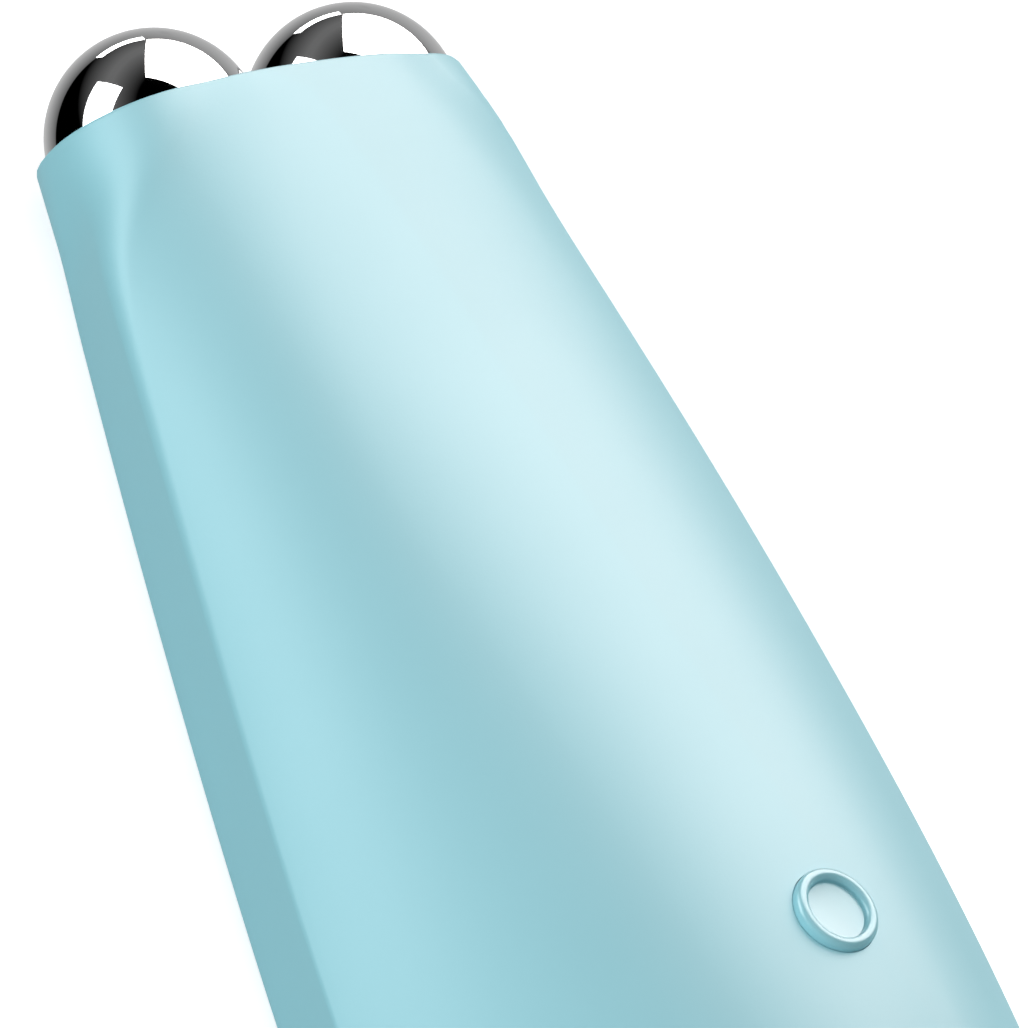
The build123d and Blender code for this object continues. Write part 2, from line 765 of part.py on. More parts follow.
# ---------------------------------------------------------------- leads
def lead(*points):
    """A round lead through the points, with the largest arc that each turn has room for."""
    points = [Vector(*point) for point in points]
    runs = [after - before for before, after in zip(points, points[1:])]
    radii = []
    for arriving, leaving in zip(runs, runs[1:]):
        half_turn = radians(arriving.get_angle(leaving)) / 2
        radii.append(lead_turn_share * min(arriving.length, leaving.length) / tan(half_turn))
    route = FilletPolyline(*points, radius=radii)
    start = Plane(origin=points[0], z_dir=runs[0])
    return sweep(start * Circle(lead_radius), route)


def plug_face(place, facing, x):
    """The point where a lead enters a plug under the board; facing is 1 for its head side."""
    return crown.from_local_coords((x, place[1] + facing * plug_length / 2,
                                    board_foot - plug_height / 2))


def along_crown(distance):
    return crown.y_dir * distance


def make_electrode_lead(side):
    x = side * electrode_lead_x
    entry = plug_face(electrode_plug_place, 1, x)
    bend = entry + along_crown(electrode_lead_rise)
    climb = bend.Z - ball_height
    return lead((x, lug_y, ball_height), (x, bend.Y + climb, ball_height), bend, entry)


def make_battery_leads():
    solids = []
    for side in ball_sides:
        x = battery_plug_place[0] + side * lead_pitch / 2
        entry = plug_face(battery_plug_place, 1, x)
        cell_y = battery_middle_y + battery_length / 2
        turn_y = cell_y + battery_lead_reach
        height = chassis_top + tray_height + battery_lead_gap + lead_radius
        bend = entry + along_crown((turn_y - entry.Y) / crown.y_dir.Y)
        solids.append(lead((x, cell_y, height), (x, turn_y, height), bend, entry))
    return solids


def make_socket_leads():
    solids = []
    for side in ball_sides:
        x = side * lead_pitch / 2
        entry = plug_face(socket_plug_place, -1, x)
        bend = entry - along_crown(socket_lead_reach)
        start = (x, socket_end_y + tab_length, socket_height)
        solids.append(lead(start, (x, bend.Y, socket_height), bend, entry))
    return solids


# ---------------------------------------------------------------- the parts
parts = {
    "soft_skin": make_soft_skin(),
    "front_shell": make_front_shell(),
    "back_cover": make_back_cover(),
    "cover_gasket": make_cover_gasket(),
    "head_cap": make_head_cap(),
    "ball_left": make_ball(-1),
    "ball_right": make_ball(1),
    "ball_seal_left": make_ball_seal(-1),
    "ball_seal_right": make_ball_seal(1),
    "ball_lug_left": make_ball_lug(-1),
    "ball_lug_right": make_ball_lug(1),
    "ball_washers": make_ball_washers(),
    "ball_nuts": make_ball_nuts(),
    "ring_button": make_ring_button(),
    "button_seal": make_button_seal(),
    "switch_base": make_switch_base(),
    "switch_dome": make_switch_dome(),
    "switch_plunger": make_switch_plunger(),
    "switch_plate": make_switch_plate(),
    "main_board": make_main_board(),
    "board_screws": make_board_screws(),
    "beeper": make_beeper(),
    "controller_chip": under_board(chip_side, chip_side, chip_height, controller_place),
    "driver_chip": under_board(*driver_size, driver_place),
    "boost_coil": make_boost_coil(),
    "board_capacitors": make_board_capacitors(),
    "lead_plugs": make_lead_plugs(),
    "chassis": make_chassis(),
    "case_screws": make_case_screws(),
    "battery_cell": make_battery_cell(),
    "battery_pad": make_battery_pad(),
    "charge_socket": make_charge_socket(),
    "socket_seal": make_socket_seal(),
    "socket_tabs": make_socket_tabs(),
    "electrode_lead_left": make_electrode_lead(-1),
    "electrode_lead_right": make_electrode_lead(1),
    "battery_leads": make_battery_leads(),
    "socket_leads": make_socket_leads(),
}

os.makedirs("parts", exist_ok=True)
for name, solid in parts.items():
    if isinstance(solid, list):
        solid = Compound([piece.solid() for piece in solid])
    export_step(solid, f"parts/{name}.step")
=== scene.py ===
"""Looks of the facial toning device: soft skin, ring button, polished contact balls with their
studs, and the back cover's screws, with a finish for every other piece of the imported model.

Lengths of the body form are in millimetres, as a maker gives them, and turn into metres where
a mesh is made. +Z points out of the crown, +Y to the head with the balls, X runs across.
"""
import json
from functools import cache
from math import asin, atan2, ceil, cos, degrees, exp, hypot, pi, radians, sin, sqrt

import bmesh
import bpy
from mathutils import Matrix, Vector
from mathutils.bvhtree import BVHTree


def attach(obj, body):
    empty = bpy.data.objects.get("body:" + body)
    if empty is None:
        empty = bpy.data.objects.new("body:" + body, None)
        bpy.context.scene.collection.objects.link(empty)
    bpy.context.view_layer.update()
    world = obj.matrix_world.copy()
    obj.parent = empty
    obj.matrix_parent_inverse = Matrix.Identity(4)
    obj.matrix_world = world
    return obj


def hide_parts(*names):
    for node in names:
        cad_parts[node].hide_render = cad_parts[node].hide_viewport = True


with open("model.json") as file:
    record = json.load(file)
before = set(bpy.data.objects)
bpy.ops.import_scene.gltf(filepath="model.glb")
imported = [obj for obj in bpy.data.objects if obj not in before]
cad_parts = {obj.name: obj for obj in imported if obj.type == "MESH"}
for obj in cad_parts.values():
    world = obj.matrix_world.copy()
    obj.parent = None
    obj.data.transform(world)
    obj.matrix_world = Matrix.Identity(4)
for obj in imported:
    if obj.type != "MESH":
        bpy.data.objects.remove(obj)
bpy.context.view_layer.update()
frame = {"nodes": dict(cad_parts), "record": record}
MM = 0.001

# ---------------------------------------------------------------- body form (mm)
body_run = 90.0              # from the ball centres back to the widest station
head_half_width = 19.4       # where flank and side panel would meet, at the ball centres
belly_half_width = 28.4
width_softness = 0.31
head_crown_height = 18.8
belly_crown_height = 34.0
height_softness = 0.37
# Each size of the cross-section at the belly, as it would run on to the head, and at the head,
# then how far back the head's own size fades out.
crown_radii = (25.0, 36.0, 60.0, 6.5)
shoulders = (38.0, 9.2, 6.7, 8.0)         # degrees of crown arc on each side of the middle
crease_heights = (10.7, 11.9, 15.5, 6.0)   # where the flank arc meets the side panel
drafts = (15.2, 25.0, 7.4, 6.5)            # degrees the side panel leans in toward the back
crease_radii = (1.0, 2.8, 8.7, 7.5)        # edge between flank and side panel
back_edge_radii = (2.4, 2.4, 8.6, 7.0)     # edge between side panel and flat back
least_fillet = 0.3

skin_wall = 0.6
skin_lip = 1.0               # flat band of skin that shows round the back cover
lip_relief = 0.03            # the lip's edge stands this far off the cover's edge
rim_rise = 0.65              # rim plane ahead of the ball centres, at ball height
rim_slope = 0.05
rim_rounding = 0.22          # radius of the skin's edge round the rim
corner_ease = 0.5            # the skin is dressed down by this much at the rim, but for its crown
corner_ease_run = 8.5        # and by less and less over this length

ball_radius = 8.0
ball_spacing = 18.7
ball_height = 9.0
collar_radius = 3.0
collar_length = 0.6
stud_radius = 1.5
stud_length = 8.0
stud_chamfer = 0.5
stud_thread_pitch = 0.6
stud_thread_depth = 0.22
stud_plain_length = 0.8      # between its seat and its thread

button_setback = 76.5        # from the ball centres
ring_radius = 2.86           # centre line of the raised ring
ring_half_width = 0.48
ring_wall = 0.2              # height of the ridge's upright walls, below its round top
ring_foot_fillet = 0.12      # between the flat middle and the ridge
button_gap = 0.05
flange_radius = 4.8
flange_thickness = 0.8
flange_gap = 0.1
stem_radius = 1.5
stem_length = 1.65
shell_inset = 2.6            # skin and rigid shell together

rear_boss_angle = 53.0       # of the case screws by the tail, from straight back
rear_boss_inset = 4.4        # in from the edge of the flat back
front_boss_run = 60.0        # ahead of the belly
front_boss_inset = 3.5
case_screw_recess = 0.6      # of the heads in the back cover
case_screw_head_radius = 2.0
case_screw_head = 1.6
case_screw_shank = 0.95
case_screw_length = 13.6     # from the head's face to the tip
case_screw_point = 0.9       # plain end beyond the thread
case_screw_edge = 0.3        # radius of the head's edge
case_screw_pitch = 0.8
case_screw_thread_depth = 0.209
recess_reach = 1.3           # of the cross recess from its middle
recess_half_width = 0.26
recess_depth = 0.95

socket_height = 7.2
socket_radius = 2.6


def growth(share, softness):
    """A hyperbola from 0, level at the belly, to 1 at the ball centres."""
    return (hypot(share, softness) - softness) / (hypot(1, softness) - softness)


def between(share, belly_size, head_size):
    return belly_size + (head_size - belly_size) * share


def crown_height(run):
    share = abs(run) / body_run
    return between(growth(share, height_softness), belly_crown_height, head_crown_height)


def arc(centre, start, end, steps):
    """Points of the short arc about centre from start to end, the start left out."""
    radius = (start - centre).length
    first = atan2(start.y - centre.y, start.x - centre.x)
    turn = atan2(end.y - centre.y, end.x - centre.x) - first
    turn = (turn + pi) % (2 * pi) - pi
    angles = [first + turn * step / steps for step in range(1, steps + 1)]
    return [centre + Vector((cos(angle), sin(angle))) * radius for angle in angles]


def straight(start, end, steps):
    return [start.lerp(end, step / steps) for step in range(1, steps + 1)]


crown_steps, flank_steps, crease_steps, panel_steps, edge_steps, lip_steps = 14, 20, 8, 8, 8, 1


@cache
def half_section(run, inset=0.0, base=0.0):
    """Right half of a cross-section, run mm ahead of the belly, as points (x, z).

    It runs crown arc, flank arc, crease fillet, side panel, base fillet and lip; it lies inset
    mm inside the outer form, with its base at height base.
    """
    share = abs(run) / body_run

    def blend(sizes):
        belly_size, neck_size, head_size, fade = sizes
        head_share = exp(-((max(body_run - run, 0) / fade) ** 2))
        return between(head_share, between(share**2, belly_size, neck_size), head_size)

    half_width = between(growth(share, width_softness), belly_half_width, head_half_width)
    shoulder_turn, draft = radians(blend(shoulders)), radians(blend(drafts))
    outward = Vector((cos(draft), -sin(draft)))
    down = Vector((-sin(draft), -cos(draft)))
    corner = Vector((half_width, blend(crease_heights)))

    crown_centre = Vector((0, crown_height(run) - blend(crown_radii)))
    turn = Vector((sin(shoulder_turn), cos(shoulder_turn)))
    outer_shoulder = crown_centre + turn * blend(crown_radii)
    span = corner - outer_shoulder
    flank_radius = -span.dot(span) / (2 * turn.dot(span))
    flank_centre = outer_shoulder - turn * flank_radius
    flank = flank_radius - inset

    crease = max(blend(crease_radii) - inset, least_fillet)
    offset = corner - outward * (inset + crease) - flank_centre
    middle = offset.dot(down)
    slide = -middle - sqrt(middle**2 - offset.dot(offset) + (flank - crease) ** 2)
    crease_centre = flank_centre + offset + down * slide

    edge = max(blend(back_edge_radii) - inset, least_fillet)
    drop = (corner.y + (inset + edge) * sin(draft) - base - edge) / cos(draft)
    edge_centre = corner - outward * (inset + edge) + down * drop

    top = Vector((0, crown_height(run) - inset))
    shoulder = outer_shoulder - turn * inset
    flank_end = flank_centre + (crease_centre - flank_centre).normalized() * flank
    panel_top = crease_centre + outward * crease
    panel_foot = edge_centre + outward * edge
    base_corner = Vector((edge_centre.x, base))
    outer_base_x = (corner - outward * blend(back_edge_radii)).x + down.x * (
        corner.y + blend(back_edge_radii) * (sin(draft) - 1)) / cos(draft)
    lip = Vector((outer_base_x - skin_lip + lip_relief, base))

    points = [top] + arc(crown_centre, top, shoulder, crown_steps)
    points += arc(flank_centre, shoulder, flank_end, flank_steps)
    points += arc(crease_centre, flank_end, panel_top, crease_steps)
    points += straight(panel_top, panel_foot, panel_steps)
    points += arc(edge_centre, panel_foot, base_corner, edge_steps)
    return points + straight(base_corner, lip, lip_steps)


tail_reach = max(point.x for point in half_section(0.0))
ball_y = (ball_radius + body_run + tail_reach) / 2 - ball_radius
belly_y = ball_y - body_run
rim_y = ball_y + rim_rise
button_y = ball_y - button_setback
ball_places = {"left": -ball_spacing / 2, "right": ball_spacing / 2}


def crown_frame():
    """Matrix of the frame on the crown under the button: +Z is the crown's normal there."""
    step = 0.01
    run = button_y - belly_y
    rise = (crown_height(run + step) - crown_height(run - step)) / (2 * step)
    normal = Vector((0, -rise, 1)).normalized()
    along = normal.cross(Vector((1, 0, 0)))
    place = Vector((0, button_y, crown_height(run))) * MM
    axes = Matrix((Vector((1, 0, 0)), along, normal)).transposed()
    return Matrix.Translation(place) @ axes.to_4x4()


# ---------------------------------------------------------------- mesh tools


def mesh_object(name, body_mesh, angle=radians(35)):
    """An object from a bmesh, smooth but for edges that turn by more than angle."""
    bmesh.ops.recalc_face_normals(body_mesh, faces=body_mesh.faces)
    for face in body_mesh.faces:
        face.smooth = True
    for edge in body_mesh.edges:
        if len(edge.link_faces) == 2 and edge.calc_face_angle() > angle:
            edge.smooth = False
    data = bpy.data.meshes.new(name)
    body_mesh.to_mesh(data)
    body_mesh.free()
    piece = bpy.data.objects.new(name, data)
    bpy.context.scene.collection.objects.link(piece)
    return piece


def skin_rows(rows, body_mesh):
    """Faces between rows of points (each a list of Vectors in mm) of equal length."""
    verts = [[body_mesh.verts.new(point * MM) for point in row] for row in rows]
    for row, after in zip(verts, verts[1:]):
        for i in range(len(row) - 1):
            body_mesh.faces.new((row[i], row[i + 1], after[i + 1], after[i]))
    return verts


def revolve(profile, steps):
    """A bmesh turned about +Z from a profile of (radius, height) pairs in mm, top to foot."""
    turned = bmesh.new()
    rings = []
    for radius, height in profile:
        if radius < 1e-6:
            rings.append([turned.verts.new((0, 0, height * MM))])
            continue
        angles = [2 * pi * step / steps for step in range(steps)]
        rings.append([turned.verts.new(Vector((radius * cos(a), radius * sin(a), height)) * MM)
                      for a in angles])
    for upper, lower in zip(rings, rings[1:]):
        for i in range(steps):
            j = (i + 1) % steps
            corners = [upper[i % len(upper)], upper[j % len(upper)],
                       lower[j % len(lower)], lower[i % len(lower)]]
            unique = list(dict.fromkeys(corners))
            if len(unique) > 2:
                turned.faces.new(unique)
    return turned


def arc_profile(centre, radius, start, end, steps):
    """Profile points of an arc; start and end are degrees from the +radius direction."""
    angles = [radians(start + (end - start) * step / steps) for step in range(steps + 1)]
    return [(centre[0] + radius * cos(angle), centre[1] + radius * sin(angle))
            for angle in angles]


def boolean_cut(piece, tool):
    """Takes the tool's solid out of the piece and removes the tool."""
    cut = piece.modifiers.new("cut", "BOOLEAN")
    cut.operation, cut.solver, cut.object = "DIFFERENCE", "EXACT", tool
    result = bpy.data.meshes.new_from_object(
        piece.evaluated_get(bpy.context.evaluated_depsgraph_get()))
    piece.modifiers.clear()
    piece.data = result
    bpy.data.objects.remove(tool)


# ---------------------------------------------------------------- soft skin
rib_pitch = 1.5
rib_margin = 2.6             # plain ribs end this far behind the rim
rounding_steps = 6
tail_steps = 84


def smooth_step(share):
    share = min(max(share, 0.0), 1.0)
    return share * share * (3 - 2 * share)


@cache
def eased_section(run, inset=0.0, base=0.0):
    """Half-section dressed down toward the rim, all but the middle of its crown."""
    section = half_section(run, inset, base)
    amount = corner_ease * exp(-((max(body_run - run, 0) / corner_ease_run) ** 4))
    deeper = half_section(run, inset + amount, base)
    first, last = crown_steps / 2, crown_steps + flank_steps
    return [point.lerp(below, smooth_step((i - first) / (last - first)))
            for i, (point, below) in enumerate(zip(section, deeper))]


def rim_row(inset, back_off, base):
    """Half-section cut by the slanted rim plane, back_off mm behind it, as (x, y, z)."""
    run = rim_y - back_off - belly_y
    near, far = run - 1.0, run + 1.0
    row = []
    for a, b in zip(eased_section(near, inset, base), eased_section(far, inset, base)):
        lean = rim_slope * (a.lerp(b, 0.5).y - ball_height)
        point = a.lerp(b, 0.5 - lean / 2)
        row.append(Vector((point.x, belly_y + run - lean, point.y)))
    return row


def front_rows(inset, base):
    """Half ribs on the right side from the belly to the rim, first the belly's."""
    reach = rim_y - belly_y - rib_margin
    count = ceil(reach / rib_pitch)
    rows = []
    for step in range(count + 1):
        run = reach * step / count
        rows.append([Vector((p.x, belly_y + run, p.y)) for p in eased_section(run, inset, base)])
    return rows


def tail_rows(inset, base):
    """Half ribs turned round the belly station's axis, from the right side to the left."""
    section = half_section(0.0, inset, base)
    rows = []
    for step in range(1, tail_steps):
        angle = pi * step / tail_steps
        rows.append([Vector((p.x * cos(angle), belly_y - p.x * sin(angle), p.y))
                     for p in section])
    return rows


def whole_rows(inset, base, rim):
    """Half ribs all round: the right side from the rim back, the tail, the left side."""
    right = front_rows(inset, base) + rim
    left = [[Vector((-p.x, p.y, p.z)) for p in row] for row in right]
    return right[::-1] + tail_rows(inset, base) + left


def soft_skin_mesh():
    rounding = []
    for step in range(rounding_steps):
        angle = pi / 2 * step / (rounding_steps - 1)
        inset = rim_rounding * (1 - cos(angle))
        rounding.append(rim_row(inset, rim_rounding * (1 - sin(angle)), inset))
    rounding.append(rim_row(skin_wall, 0.0, skin_wall))
    outer_rows = whole_rows(0.0, 0.0, rounding)
    inner_rows = whole_rows(skin_wall, skin_wall, [rounding[-1]])
    skin = bmesh.new()
    outer = skin_rows(outer_rows, skin)
    inner = skin_rows(inner_rows, skin)
    # the lip's edge closes the wall along the whole length; its first and last ribs are shared
    outer_lip = [row[-1] for row in outer[rounding_steps:len(outer) - rounding_steps]]
    inner_lip = [row[-1] for row in inner]
    for i in range(len(inner_lip) - 1):
        skin.faces.new((outer_lip[i], outer_lip[i + 1], inner_lip[i + 1], inner_lip[i]))
    for end in (0, -1):
        lips = outer[:rounding_steps + 1] if end == 0 else outer[-rounding_steps - 1:]
        corner = inner_lip[end]
        fan = [row[-1] for row in lips]
        for a, b in zip(fan, fan[1:]):
            if (a.co - corner.co).length > 1e-9 and (b.co - corner.co).length > 1e-9:
                skin.faces.new((a, b, corner))
    bmesh.ops.remove_doubles(skin, verts=skin.verts, dist=1e-7)
    return skin


def post_tool(name, radius, low, high, place, steps=96):
    """A cylinder along the place's Z axis, as a cutting tool."""
    tool = mesh_object(name, revolve([(0, high), (radius, high), (radius, low), (0, low)], steps))
    tool.data.transform(place)
    return tool


def keep_surface_normals(piece, surface, centre, reach):
    """Gives faces near centre the normals of the uncut surface, so no shading seam shows."""
    most_turn = radians(20)
    tree = BVHTree.FromBMesh(surface)
    surface.faces.ensure_lookup_table()
    mesh = piece.data
    normals = [Vector((0, 0, 0))] * len(mesh.loops)
    for face in mesh.polygons:
        if (face.center - centre).length > reach:
            continue
        _, facing, _, _ = tree.find_nearest(face.center)
        if facing.dot(face.normal) < cos(most_turn):
            continue
        for loop in face.loop_indices:
            point = mesh.vertices[mesh.loops[loop].vertex_index].co
            nearest, _, index, _ = tree.find_nearest(point)
            corners = surface.faces[index].verts
            weights = [1 / ((corner.co - nearest).length + 1e-7) ** 2 for corner in corners]
            blended = sum((c.normal * w for c, w in zip(corners, weights)), Vector())
            normals[loop] = blended.normalized()
    mesh.normals_split_custom_set(normals)


def make_soft_skin():
    surface = soft_skin_mesh()
    bmesh.ops.recalc_face_normals(surface, faces=surface.faces)
    skin = mesh_object("soft_skin_outer", surface.copy())
    guide_radius = ring_radius + ring_half_width + button_gap
    frame_on_crown = crown_frame()
    boolean_cut(skin, post_tool("button_hole", guide_radius, -2 * skin_wall, 2, frame_on_crown))
    mouth = Vector((0, belly_y - tail_reach, socket_height)) * MM
    along_y = Matrix.Translation(mouth) @ Matrix.Rotation(-pi / 2, 4, "X")
    boolean_cut(skin, post_tool("socket_hole", socket_radius, -2, 4, along_y))
    for centre, reach in ((frame_on_crown.translation, 7 * MM), (mouth, 6 * MM)):
        keep_surface_normals(skin, surface, centre, reach)
    surface.free()
    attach(skin, "handset")
    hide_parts("soft_skin")
    return skin


# ---------------------------------------------------------------- ring button
def make_ring_button():
    """One moulding: flat middle, half-round raised ring, guide wall, flange and stem."""
    ridge_steps, turned_steps = 24, 96
    flange_top = -shell_inset - flange_gap
    flange_foot = flange_top - flange_thickness
    stem_foot = flange_foot - stem_length
    button_radius = ring_radius + ring_half_width
    inner_foot = ring_radius - ring_half_width
    profile = [(0, 0), (inner_foot - ring_foot_fillet, 0),
               (inner_foot - ring_foot_fillet / 3, ring_foot_fillet / 4),
               (inner_foot, ring_foot_fillet)]
    profile += arc_profile((ring_radius, ring_wall), ring_half_width, 180, 0, ridge_steps)
    profile += [(button_radius, flange_top), (flange_radius, flange_top),
                (flange_radius, flange_foot), (stem_radius, flange_foot),
                (stem_radius, stem_foot), (0, stem_foot)]
    button = mesh_object("ring_button_moulding", revolve(profile, turned_steps))
    button.data.transform(crown_frame())
    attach(button, "button")
    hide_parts("ring_button")
    return button


# ---------------------------------------------------------------- contact balls
def thread_profile(radius, depth, pitch, start, end):
    """Ridges of a thread on a shank that points down, from start to end below height 0."""
    ridges = []
    while start + pitch <= end:
        ridges += [(radius, -start), (radius - depth, -start - pitch / 2)]
        start += pitch
    return ridges


def make_ball(side):
    """Polished ball with its collar and threaded stud, turned in one piece."""
    meridian_steps, turned_steps, sharpest = 72, 128, radians(30)
    neck = sqrt(ball_radius**2 - collar_radius**2)
    seat = ball_radius + collar_length
    tip = seat + stud_length
    top_angle = degrees(asin(neck / ball_radius))
    profile = arc_profile((0, 0), ball_radius, 90, -top_angle, meridian_steps)
    profile[0] = (0, ball_radius)
    profile += [(collar_radius, -seat), (stud_radius, -seat)]
    profile += thread_profile(stud_radius, stud_thread_depth, stud_thread_pitch,
                              seat + stud_plain_length, tip - stud_chamfer)
    profile += [(stud_radius, -tip + stud_chamfer), (stud_radius - stud_chamfer, -tip), (0, -tip)]
    ball = mesh_object("contact_ball_" + side, revolve(profile, turned_steps), sharpest)
    place = Vector((ball_places[side], ball_y, ball_height)) * MM
    ball.data.transform(Matrix.Translation(place) @ Matrix.Rotation(-pi / 2, 4, "X"))
    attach(ball, "handset")
    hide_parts("ball_" + side)
    return ball


# ---------------------------------------------------------------- case screws
def cross_tool(place):
    """Tapered cross that cuts a screwdriver's recess into a head whose face is at height 0."""
    near, far = recess_half_width, recess_reach
    outline = [(near, near), (near, far), (-near, far), (-near, near), (-far, near),
               (-far, -near), (-near, -near), (-near, -far), (near, -far), (near, -near),
               (far, -near), (far, near)]
    tool = bmesh.new()
    rings = [[tool.verts.new(Vector((x * scale, y * scale, height)) * MM) for x, y in outline]
             for scale, height in ((1.05, 0.1), (0.45, -recess_depth))]
    tool.faces.new(rings[0])
    tool.faces.new(rings[1][::-1])
    for i in range(len(outline)):
        j = (i + 1) % len(outline)
        tool.faces.new((rings[0][i], rings[0][j], rings[1][j], rings[1][i]))
    cutter = mesh_object("cross_recess", tool)
    cutter.data.transform(place)
    return cutter


def make_case_screws():
    """Four flat-headed screws with a cross recess that hold the back cover."""
    edge, thread_end = case_screw_edge, case_screw_length - case_screw_point
    profile = [(0, 0)] + arc_profile((case_screw_head_radius - edge, -edge), edge, 90, 0, 6)
    profile += [(case_screw_head_radius, -case_screw_head), (case_screw_shank, -case_screw_head)]
    profile += thread_profile(case_screw_shank, case_screw_thread_depth, case_screw_pitch,
                              case_screw_head + case_screw_pitch, thread_end)
    profile += [(case_screw_shank * 0.9, -thread_end), (0, -case_screw_length)]

    rear_reach = half_section(0.0)[-1 - lip_steps].x - rear_boss_inset
    turn = radians(rear_boss_angle)
    front_x = half_section(front_boss_run)[-1 - lip_steps].x - front_boss_inset
    places = [(rear_reach * sin(turn), belly_y - rear_reach * cos(turn)),
              (front_x, belly_y + front_boss_run)]
    screws = bmesh.new()
    for i, (x, y) in enumerate(places + [(-x, y) for x, y in places]):
        tightened = Matrix.Rotation(0.7 + 1.1 * i, 4, "Z")      # each stops at a turn of its own
        place = Matrix.Translation(Vector((x, y, case_screw_recess)) * MM)
        place = place @ Matrix.Rotation(pi, 4, "X") @ tightened
        screw = mesh_object("screw", revolve(profile, 64))
        screw.data.transform(place)
        boolean_cut(screw, cross_tool(place))
        screws.from_mesh(screw.data)
        bpy.data.objects.remove(screw)
    piece = mesh_object("case_screw_set", screws, radians(28))
    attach(piece, "handset")
    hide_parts("case_screws")
    return piece


# ---------------------------------------------------------------- shader node groups


def add_node(tree, kind, **settings):
    node = tree.nodes.new(kind)
    for name, value in settings.items():
        if name in node.inputs:
            node.inputs[name].default_value = value
        else:
            setattr(node, name, value)
    return node


def new_group(name, inputs, outputs):
    """An empty shader node group with float inputs {name: default} and named outputs."""
    group = bpy.data.node_groups.new(name, "ShaderNodeTree")
    for socket, default in inputs.items():
        made = group.interface.new_socket(socket, in_out="INPUT", socket_type="NodeSocketFloat")
        made.default_value = default
    for socket in outputs:
        group.interface.new_socket(socket, in_out="OUTPUT", socket_type="NodeSocketFloat")
    return group, group.nodes.new("NodeGroupInput"), group.nodes.new("NodeGroupOutput")


def scaled_noise(tree, source, scale_socket, detail, roughness=0.5):
    """Noise over the object's own coordinates, with its scale from a socket."""
    noise = add_node(tree, "ShaderNodeTexNoise", Detail=detail, Roughness=roughness)
    tree.links.new(source, noise.inputs["Vector"])
    tree.links.new(scale_socket, noise.inputs["Scale"])
    return noise.outputs["Fac"]


def math_node(tree, operation, first, second):
    node = add_node(tree, "ShaderNodeMath", operation=operation)
    for socket, value in zip(node.inputs, (first, second)):
        if isinstance(value, (int, float)):
            socket.default_value = value
        else:
            tree.links.new(value, socket)
    return node.outputs[0]


def object_place(tree):
    """The object's own coordinates."""
    return add_node(tree, "ShaderNodeTexCoord").outputs["Object"]


def mapped_value(tree, value, low, high, to_low, to_high):
    """The value's run from low to high, put out as to_low to to_high and held beyond."""
    mapped = add_node(tree, "ShaderNodeMapRange")
    settings = (("From Min", low), ("From Max", high), ("To Min", to_low), ("To Max", to_high))
    for socket, setting in settings:
        mapped.inputs[socket].default_value = setting
    tree.links.new(value, mapped.inputs["Value"])
    return mapped.outputs["Result"]


def clamped(tree, value):
    clamp = add_node(tree, "ShaderNodeClamp")
    tree.links.new(value, clamp.inputs["Value"])
    return clamp.outputs[0]


def grain_group():
    """Fine moulded grain: a height, and a mask that is dark in the grain's valleys."""
    group, given, out = new_group("moulded_grain", {"Scale": 4000, "Softness": 0.5},
                                  ("Height", "Mask"))
    place = object_place(group)
    fine = scaled_noise(group, place, given.outputs["Scale"], 2.0)
    broad_scale = math_node(group, "MULTIPLY", given.outputs["Scale"], 0.3)
    broad = scaled_noise(group, place, broad_scale, 1.0)
    mixed = add_node(group, "ShaderNodeMix", data_type="FLOAT")
    group.links.new(given.outputs["Softness"], mixed.inputs[0])
    group.links.new(fine, mixed.inputs[2])
    group.links.new(broad, mixed.inputs[3])
    group.links.new(mixed.outputs[0], out.inputs["Height"])
    valleys = mapped_value(group, mixed.outputs[0], 0.35, 0.6, 0.0, 1.0)
    group.links.new(valleys, out.inputs["Mask"])
    return group


def drift_group():
    """Slow drift over a surface, from 0 to 1: handling, uneven pigment, dull patches."""
    group, given, out = new_group("slow_drift", {"Scale": 60, "Contrast": 1.0}, ("Mask",))
    place = object_place(group)
    drift = scaled_noise(group, place, given.outputs["Scale"], 3.0, 0.55)
    centred = math_node(group, "SUBTRACT", drift, 0.5)
    stretched = math_node(group, "MULTIPLY", centred, given.outputs["Contrast"])
    lifted = math_node(group, "ADD", stretched, 0.5)
    group.links.new(clamped(group, lifted), out.inputs["Mask"])
    return group


def wear_group():
    """Edge wear: a mask that is bright on outer edges, broken up by noise."""
    group, given, out = new_group("edge_wear", {"Amount": 0.5, "Scale": 900}, ("Mask",))
    geometry = add_node(group, "ShaderNodeNewGeometry")
    place = object_place(group)
    noise = scaled_noise(group, place, given.outputs["Scale"], 4.0)
    flat_pointiness, gain = 0.505, 14.0
    outer = math_node(group, "SUBTRACT", geometry.outputs["Pointiness"], flat_pointiness)
    strong = math_node(group, "MULTIPLY", outer, gain)
    broken = math_node(group, "MULTIPLY", strong, noise)
    amount = math_node(group, "MULTIPLY", broken, given.outputs["Amount"])
    group.links.new(clamped(group, amount), out.inputs["Mask"])
    return group


def lines_group():
    """Fine lines along one axis of the object, as a height."""
    group, given, out = new_group("drawn_lines", {"Along": 60, "Across": 6000}, ("Height",))
    place = object_place(group)
    stretch = add_node(group, "ShaderNodeCombineXYZ")
    group.links.new(given.outputs["Across"], stretch.inputs["X"])
    group.links.new(given.outputs["Along"], stretch.inputs["Y"])
    group.links.new(given.outputs["Across"], stretch.inputs["Z"])
    scaled = add_node(group, "ShaderNodeVectorMath", operation="MULTIPLY")
    group.links.new(place, scaled.inputs[0])
    group.links.new(stretch.outputs[0], scaled.inputs[1])
    noise = add_node(group, "ShaderNodeTexNoise", Scale=1.0, Detail=2.0)
    group.links.new(scaled.outputs[0], noise.inputs["Vector"])
    group.links.new(noise.outputs["Fac"], out.inputs["Height"])
    return group


groups = {"grain": grain_group(), "drift": drift_group(), "wear": wear_group(),
          "lines": lines_group()}


